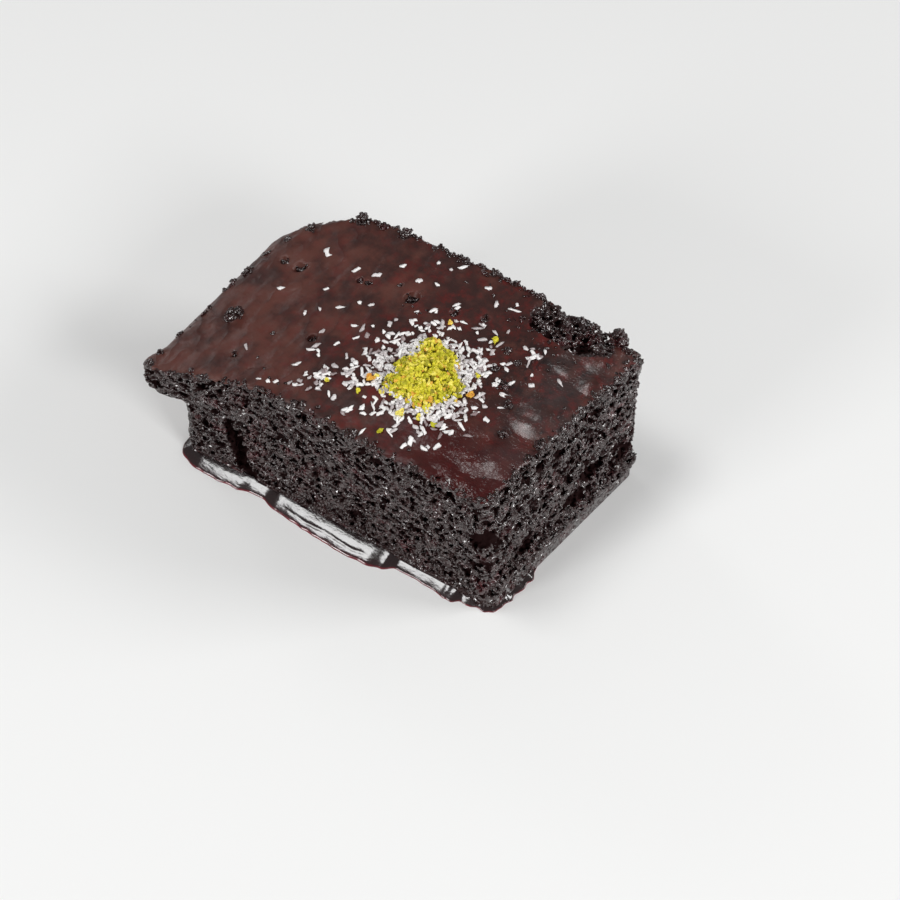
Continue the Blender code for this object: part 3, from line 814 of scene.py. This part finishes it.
nutSpots = (  # x, y, size and colour of stray nuts
    (17.9, 14.0, 1.2, 0.45),
    (8.8, -24.0, 0.9, 0.3),
    (19.1, -16.5, 0.9, 0.3),
    (-1.1, -13.0, 1.3, 0.97),
    (-0.2, -12.2, 1.0, 0.8),
    (-1.6, -18.2, 0.9, 0.5),
    (19.8, 1.7, 0.8, 0.5),
    (21.6, -4.5, 1.3, 0.96),
    (10.2, -17.6, 1.3, 0.8),
    (-9.8, -19.0, 0.8, 0.6),
    (5.5, 12.2, 0.8, 0.9),
    (3.2, -15.4, 1.0, 0.7),
    (14.6, -16.8, 0.9, 0.6),
)
skinTree = BVHTree.FromObject(cakeTop, bpy.context.evaluated_depsgraph_get())


def landing(x, y):  # the skin under a place, in millimetres, and its tilt
    spot, tilt, _, _ = skinTree.ray_cast(Vector((x, y, 70.0)) * mm, Vector((0, 0, -1)))
    return (spot / mm, tilt) if spot else (None, None)


def templateMesh(name, bed):
    mesh = bpy.data.meshes.new(name)
    bed.to_mesh(mesh)
    bed.free()
    return mesh


def flakeTemplate(index):  # a torn shred, one long and one wide
    bed = bmesh.new()
    bmesh.ops.create_cube(bed, size=1.0)
    long = [edge for edge in bed.edges if abs(edge.verts[0].co.x - edge.verts[1].co.x) > 0.5]
    bmesh.ops.subdivide_edges(bed, edges=long, cuts=3)
    bow, curl, twist = draw.uniform(-0.7, 0.7), draw.uniform(-0.1, 0.5), draw.uniform(-1.6, 1.6)
    tips = draw.uniform(0.3, 1.1), draw.uniform(0.2, 1.1)
    skew = draw.uniform(-0.25, 0.25)
    for vert in bed.verts:
        x, y, z = vert.co
        tip = tips[0] if x < 0 else tips[1]
        slim = 1.0 - (1.0 - tip) * abs(2 * x) ** 1.6 + draw.uniform(-0.32, 0.32)
        frayed = Vector((x + skew * y + draw.uniform(-0.05, 0.05), y * slim, z * slim))
        turned = Matrix.Rotation(twist * x, 3, "X") @ frayed
        vert.co = (turned.x, turned.y + bow * (x * x - 0.12), turned.z + curl * x * x * 3.0)
    return templateMesh("flake%d" % index, bed)


def bitTemplate(index):
    bed = bmesh.new()
    bmesh.ops.create_icosphere(bed, subdivisions=2, radius=1.0)
    stretch = Vector((draw.uniform(0.8, 1.5), draw.uniform(0.7, 1.1), draw.uniform(0.5, 0.9)))
    for vert in bed.verts:
        rough = 1.0 + 0.75 * noise.noise(vert.co * 1.9 + Vector((index * 7.1, 0, 0)))
        vert.co = vert.co * stretch * (rough + draw.uniform(-0.2, 0.2))
    return templateMesh("bit%d" % index, bed)


def newBed():
    bed = bmesh.new()
    bed.verts.layers.float.new("tint")
    return bed


def strew(bed, template, place, turn, scale, tint):
    before = len(bed.verts)
    bed.from_mesh(template)
    bed.verts.ensure_lookup_table()
    layer = bed.verts.layers.float["tint"]
    for vert in bed.verts[before:]:
        x, y, z = vert.co
        vert.co = (turn @ Vector((x * scale[0], y * scale[1], z * scale[2])) + place) * mm
        vert[layer] = tint


def lyingTurn(tilt, wobble):
    yaw = Matrix.Rotation(draw.uniform(0, 2 * math.pi), 3, "Z")
    rock = Euler((draw.gauss(0, wobble), draw.gauss(0, wobble), 0)).to_matrix()
    return tilt.to_track_quat("Z", "Y").to_matrix() @ rock @ yaw


def layFlake(bed, x, y, lift, wobble, longest=1.0):
    spot, tilt = landing(x, y)
    if not spot or spot.z < coconut["lowest"]:
        return
    length = draw.triangular(*coconut["length"]) * longest
    width, thickness = draw.triangular(*coconut["width"]), draw.triangular(*coconut["thickness"])
    place = spot + Vector((0, 0, lift + thickness * 0.35))
    size = (length, width, thickness)
    strew(bed, draw.choice(flakes), place, lyingTurn(tilt, wobble), size, draw.random())


def layBit(bed, place, size, tint):
    turn = Euler([draw.uniform(0, 6.28) for _ in range(3)]).to_matrix()
    strew(bed, draw.choice(bits), place, turn, (size, size, size), tint)


def moundRise(x, y):
    rise = 0.0
    for midX, midY, radius, height in pistachio["mounds"]:
        out = math.hypot(x - midX, y - midY) / radius
        if out < 1.0:
            rise = max(rise, height * (1.0 - out * out) ** 0.7)
    return rise


def addCoconutBed():
    bed = newBed()
    midX, midY = coconut["middle"]
    for _ in range(coconut["bedFlakes"]):
        angle = draw.uniform(0, 2 * math.pi)
        out = abs(draw.gauss(coconut["bedReach"], coconut["bedSpread"]))
        if out > 13.6:
            continue
        rise = coconut["bedRise"] * max(0.0, 1.0 - (out / 13.0) ** 2) * draw.random()
        layFlake(bed, midX + out * math.cos(angle), midY + out * math.sin(angle), rise, 0.35, 0.85)
    piece = newPiece("coconutBed", bed, flakeFinish)
    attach(piece, "root")
    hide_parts("coconut_heap")


def addLooseCoconut():
    bed = newBed()
    midX, midY = coconut["middle"]
    for _ in range(coconut["looseFlakes"]):
        angle = draw.uniform(0, 2 * math.pi)
        out = 9.0 + abs(draw.gauss(0, 1)) * (coconut["looseReach"] - 9.0)
        layFlake(bed, midX + out * math.cos(angle), midY + out * math.sin(angle), 0.0, 0.12)
    for x, y, spread, count in flakeClusters:
        for _ in range(count):
            layFlake(bed, draw.gauss(x, spread), draw.gauss(y, spread), draw.uniform(0, 0.3), 0.2)
    for x, y in flakeSpots:
        layFlake(bed, x, y, 0.0, 0.08)
    piece = newPiece("looseCoconut", bed, flakeFinish)
    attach(piece, "root")


def addPistachio():
    bed = newBed()
    for x, y, radius, height in pistachio["mounds"]:
        spot, _ = landing(x, y)
        before = len(bed.verts)
        bmesh.ops.create_icosphere(bed, subdivisions=4, radius=1.0)
        bed.verts.ensure_lookup_table()
        for vert in bed.verts[before:]:
            lump = 0.86 + 0.14 * noise.noise(vert.co * 2.3 + Vector((x, y, 0)))
            up = max(vert.co.z, -0.1) * height
            grown = Vector((vert.co.x * radius, vert.co.y * radius, up)) * lump
            vert.co = (spot + grown * 0.9) * mm
            # the heap under the bits takes the darkest green, painted shade in the gaps between the bits
            vert[bed.verts.layers.float["tint"]] = 0.08
    areas = [radius ** 2 for _, _, radius, _ in pistachio["mounds"]]
    for _ in range(pistachio["bits"]):
        x, y, radius, _ = draw.choices(pistachio["mounds"], areas)[0]
        angle, out = draw.uniform(0, 2 * math.pi), radius * 1.1 * math.sqrt(draw.random())
        x, y = x + out * math.cos(angle), y + out * math.sin(angle)
        spot, _ = landing(x, y)
        rise = moundRise(x, y) * draw.uniform(0.82, 1.08)
        size = draw.triangular(*pistachio["bitSize"], 0.34)
        place = spot + Vector((0, 0, min(rise, 3.3) + 0.45 * size))
        tint = 0.94 if draw.random() < 0.07 else min(0.85, max(0.0, draw.gauss(0.42, 0.2)))
        layBit(bed, place, size, tint)
    for x, y, size, tint in nutSpots:
        spot, _ = landing(x, y)
        for _ in range(3):
            nudge = Vector((draw.uniform(-0.5, 0.5), draw.uniform(-0.5, 0.5), 0.35)) * size
            layBit(bed, spot + nudge, size * draw.uniform(0.45, 0.7), tint + draw.uniform(-0.08, 0.02))
    piece = newPiece("groundPistachio", bed, nutFinish())
    piece.data.shade_flat()
    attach(piece, "root")
    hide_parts("pistachio_heap")


def coconutFinish():
    material, tree, shader = newMaterial("coconutFlakes", Roughness=0.5)
    place = millimetres(tree)
    rampColour(shader, stored(tree, "tint") + place.grain(1.2, 2.0, 3.0) * 0.15, (
        (0.0, (0.95, 0.93, 0.91)),
        (0.6, (0.86, 0.83, 0.82)),
        (0.88, (0.52, 0.47, 0.47)),
        (1.0, (0.26, 0.19, 0.19)),
    ))
    fibre = place.vectorMaths("MULTIPLY", (1.0, 2.5, 1.0)).grain(0.5, 2.0)
    roughen(shader, fibre, 0.1 * mm, 0.6)
    return material


def nutFinish():
    material, tree, shader = newMaterial("pistachioGrounds", Roughness=0.6)
    place = millimetres(tree)
    rampColour(shader, stored(tree, "tint") + place.grain(0.8, 2.0) * 0.12, (
        (0.0, (0.22, 0.19, 0.004)),
        (0.25, (0.50, 0.48, 0.010)),
        (0.5, (0.78, 0.69, 0.040)),
        (0.8, (0.92, 0.80, 0.18)),
        (0.9, (0.85, 0.52, 0.06)),
        (1.0, (0.62, 0.25, 0.03)),
    ))
    roughen(shader, place.grain(0.35, 2.0), 0.1 * mm, 0.7)
    return material


flakes = [flakeTemplate(index) for index in range(coconut["templates"])]
bits = [bitTemplate(index) for index in range(pistachio["templates"])]
flakeFinish = coconutFinish()
addCoconutBed()
addLooseCoconut()
addPistachio()
print("coconut and pistachio strewn")


# loose crumbs on the skin
looseCrumb = {
    "spotSize": (0.22, 0.7, 0.3),  # least, most, usual
    "clumpSize": (0.2, 0.85, 0.35),
    "edgeSize": (0.2, 1.1, 0.3),
    "perRadius": 12,
    "lowest": 28.0,
    "lowestSpot": 30.0,
}
crumbClumps = (  # x, y, radius of more clumps of crumb, where the skin is torn
    (37.0, 26.0, 1.8), (33.0, 27.0, 1.8), (29.0, 24.5, 1.6), (26.0, 28.5, 1.6), (22.5, 22.0, 1.5),
    (31.0, 20.5, 1.2), (18.0, 28.8, 1.2), (43.5, 27.5, 1.3), (8.0, 29.2, 1.0), (-4.0, 29.0, 0.9),
    (24.0, 4.5, 1.3), (28.5, 1.5, 1.5), (33.0, -2.5, 1.2), (27.0, 8.5, 1.0), (20.5, -1.5, 1.0),
    (22.5, 10.5, 1.2), (37.5, -10.0, 0.9), (45.5, -8.0, 1.2),
)
crumbEdges = (  # along the cut edges of the block, from x, y to x, y, and how many
    (-34.0, 28.8, 40.0, 28.8, 240),
    (-46.4, -27.0, -45.4, 14.0, 14),
    (-40.0, -29.0, 46.0, -29.0, 190),
    (47.2, -28.0, 47.2, 28.0, 150),
)
crumbSpots = (  # x, y, spread, crumbs
    (30.0, 19.5, 3.5, 16),
    (21.0, 22.0, 2.5, 10),
    (41.0, 24.0, 2.0, 6),
    (10.0, 27.5, 6.0, 10),
    (-5.0, 12.0, 1.6, 6),
    (40.0, -18.0, 3.0, 6),
    (48.0, 4.0, 2.0, 10),
    (20.0, -28.0, 9.0, 8),
    (-20.0, -29.0, 9.0, 8),
)


def addLooseCrumbs():
    bed = newBed()
    for x, y, spread, count in crumbSpots:
        for _ in range(count):
            spot, _ = landing(draw.gauss(x, spread), draw.gauss(y, spread * 0.7))
            if spot and spot.z > looseCrumb["lowestSpot"]:
                layBit(bed, spot, draw.triangular(*looseCrumb["spotSize"]), draw.random())
    for blockX, blockY, radius in crumbLumps + skinPits + crumbClumps:
        x, y, _ = bend(blockX, blockY, tall)
        for _ in range(int(looseCrumb["perRadius"] * radius)):
            aside, along = draw.gauss(0, 0.45) * radius, draw.gauss(0, 0.45) * radius
            spot, _ = landing(x + aside, y + along)
            if spot and spot.z > looseCrumb["lowest"]:
                lift = max(0.0, 0.5 - math.hypot(aside, along) / radius) * radius * draw.random()
                size = draw.triangular(*looseCrumb["clumpSize"])
                layBit(bed, spot + Vector((0, 0, lift)), size, draw.random())
    for startX, startY, endX, endY, count in crumbEdges:
        for _ in range(count):
            share = draw.random()
            x, y, _ = bend(startX + (endX - startX) * share, startY + (endY - startY) * share, tall)
            spot, _ = landing(x + draw.gauss(0, 0.7), y + draw.gauss(0, 0.7))
            if spot and spot.z > looseCrumb["lowest"]:
                layBit(bed, spot, draw.triangular(*looseCrumb["edgeSize"]), draw.random())
    piece = newPiece("looseCrumbs", bed, chocolate)
    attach(piece, "root")


addLooseCrumbs()
print("crumbs scattered")


# the syrup that has run out round the foot
pool = {
    "stations": 360,
    "across": 22,
    "top": 2.3,
    "rim": 0.3,
    "slope": 0.5,
    "flatten": 0.026,
    "start": -6.0,
    "end": -10.0,
    "under": 1.2,
    "cornerCut": 1.6,
    "taper": 4.0,
}
poolReach = (  # way along the front from the left corner, and how far the syrup runs out
    (-22.0, 0.4), (-13.0, 1.2), (-6.0, 1.5), (-1.0, 1.9), (3.0, 2.6), (7.0, 3.5), (13.0, 3.6),
    (19.0, 3.4), (23.0, 2.5), (26.5, 2.4), (31.5, 3.9), (38.0, 4.5), (46.0, 5.1), (53.0, 5.5),
    (60.0, 5.1), (64.5, 4.1), (68.0, 1.9), (74.0, 1.8), (78.0, 2.0), (84.0, 2.6), (88.0, 1.3),
    (93.0, 0.8), (97.0, 1.0), (101.0, 0.6), (108.0, 1.1), (114.0, 0.5),
)


def footPlace(way):  # the cake's foot, with the way measured from the left corner
    front, left, right = -halfWidth, -halfLength, halfLength
    corner = 2.0 * cakeForm["cutCorner"]
    if way < 0.0:
        x, y, out = left, front - way, Vector((-1, 0))
    elif way < 2 * halfLength:
        x, y, out = left + way, front, Vector((0, -1))
    else:
        x, y, out = right, front + way - 2 * halfLength, Vector((1, 0))
    near = min(abs(way), abs(way - 2 * halfLength)) / corner
    if near < 1.0:
        turn = Vector((-1, -1)) if abs(way) < corner else Vector((1, -1))
        out = (out * near + turn.normalized() * (1.0 - near)).normalized()
        cut = (1.0 - near) ** 2
        x, y = x - out.x * cut * pool["cornerCut"], y - out.y * cut * pool["cornerCut"]
    return bend(x, y, 0.0).xy, out


def reachAt(way):
    before, after = poolReach[0], poolReach[-1]
    for spot in poolReach:
        if spot[0] <= way:
            before = spot
        else:
            after = spot
            break
    return before[1] + (after[1] - before[1]) * ease(before[0], max(after[0], before[0] + 0.1), way)


def addPool():
    bed = bmesh.new()
    bmesh.ops.create_grid(bed, x_segments=pool["stations"], y_segments=pool["across"], size=0.5)
    layer = bed.verts.layers.float.new("tint")
    first = -(halfWidth + pool["start"])
    last = 2 * halfLength + halfWidth + pool["end"]
    for vert in bed.verts:
        way = first + (last - first) * (vert.co.x + 0.5)
        share = 0.5 - vert.co.y
        foot, out = footPlace(way)
        reach = reachAt(way)
        ends = max(0.0, min(1.0, (way - first) / pool["taper"], (last - way) / pool["taper"]))
        lobe, corner = noise.noise(Vector((way / 2.2, 0, 9))), ease(80.0, 86.0, way)
        wave = 0.3 * noise.noise(Vector((way / 3.0, 0, 5)))
        edge = (reach + wave + 0.9 * lobe * corner) * ends + ends - 1.0
        spread = -pool["under"] + (edge + pool["under"]) * share
        inward = max(0.0, reach - spread)
        ripple = noise.noise(Vector((way / 9.0, share * 0.8, 2.0)))
        swing = 0.04 + 0.10 * ease(64.0, 70.0, way)
        height = pool["rim"] + pool["slope"] * inward - pool["flatten"] * inward ** 2 + swing * ripple
        dip = ease(3.8, 5.0, reach) * ease(-0.2, 0.2, ripple)
        height += 0.9 * corner * max(-0.3, lobe) * (1.0 - share)
        height -= 0.12 * dip * math.exp(-((share - 0.66 - 0.12 * ripple) / 0.06) ** 2)
        height = min(height, pool["top"]) * max(0.0, 1.0 - max(0.0, (share - 0.94) / 0.06) ** 2) ** 0.5
        vert.co = Vector((*(foot + out * spread), max(0.05, height * (0.2 + 0.8 * ends)))) * mm
        vert[layer] = min(1.0, max(0.0, share))
    base = bmesh.ops.extrude_face_region(bed, geom=bed.faces[:])
    for part in base["geom"]:
        if isinstance(part, bmesh.types.BMVert):
            part.co.z = 0.0
    bmesh.ops.recalc_face_normals(bed, faces=bed.faces[:])
    piece = newPiece("syrupPool", bed, syrupFinish())
    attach(piece, "root")
    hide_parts("sauce_pool")


def syrupFinish():
    material, tree, shader = newMaterial("syrup", Roughness=0.14, Specular_IOR_Level=0.9)
    place = millimetres(tree)
    rampColour(shader, stored(tree, "tint") + place.grain(2.0, 2.0) * 0.06, (
        (0.0, (0.010, 0.005, 0.005)),
        (0.90, (0.018, 0.006, 0.006)),
        (0.97, (0.09, 0.007, 0.012)),
        (1.0, (0.17, 0.012, 0.020)),
    ))
    swirl = place.vectorMaths("MULTIPLY", (0.5, 1.0, 1.0)).grain(2.4, 3.0, 0.0, 0.6)
    roughen(shader, swirl, 0.05 * mm)
    return material


addPool()
print("syrup poured")
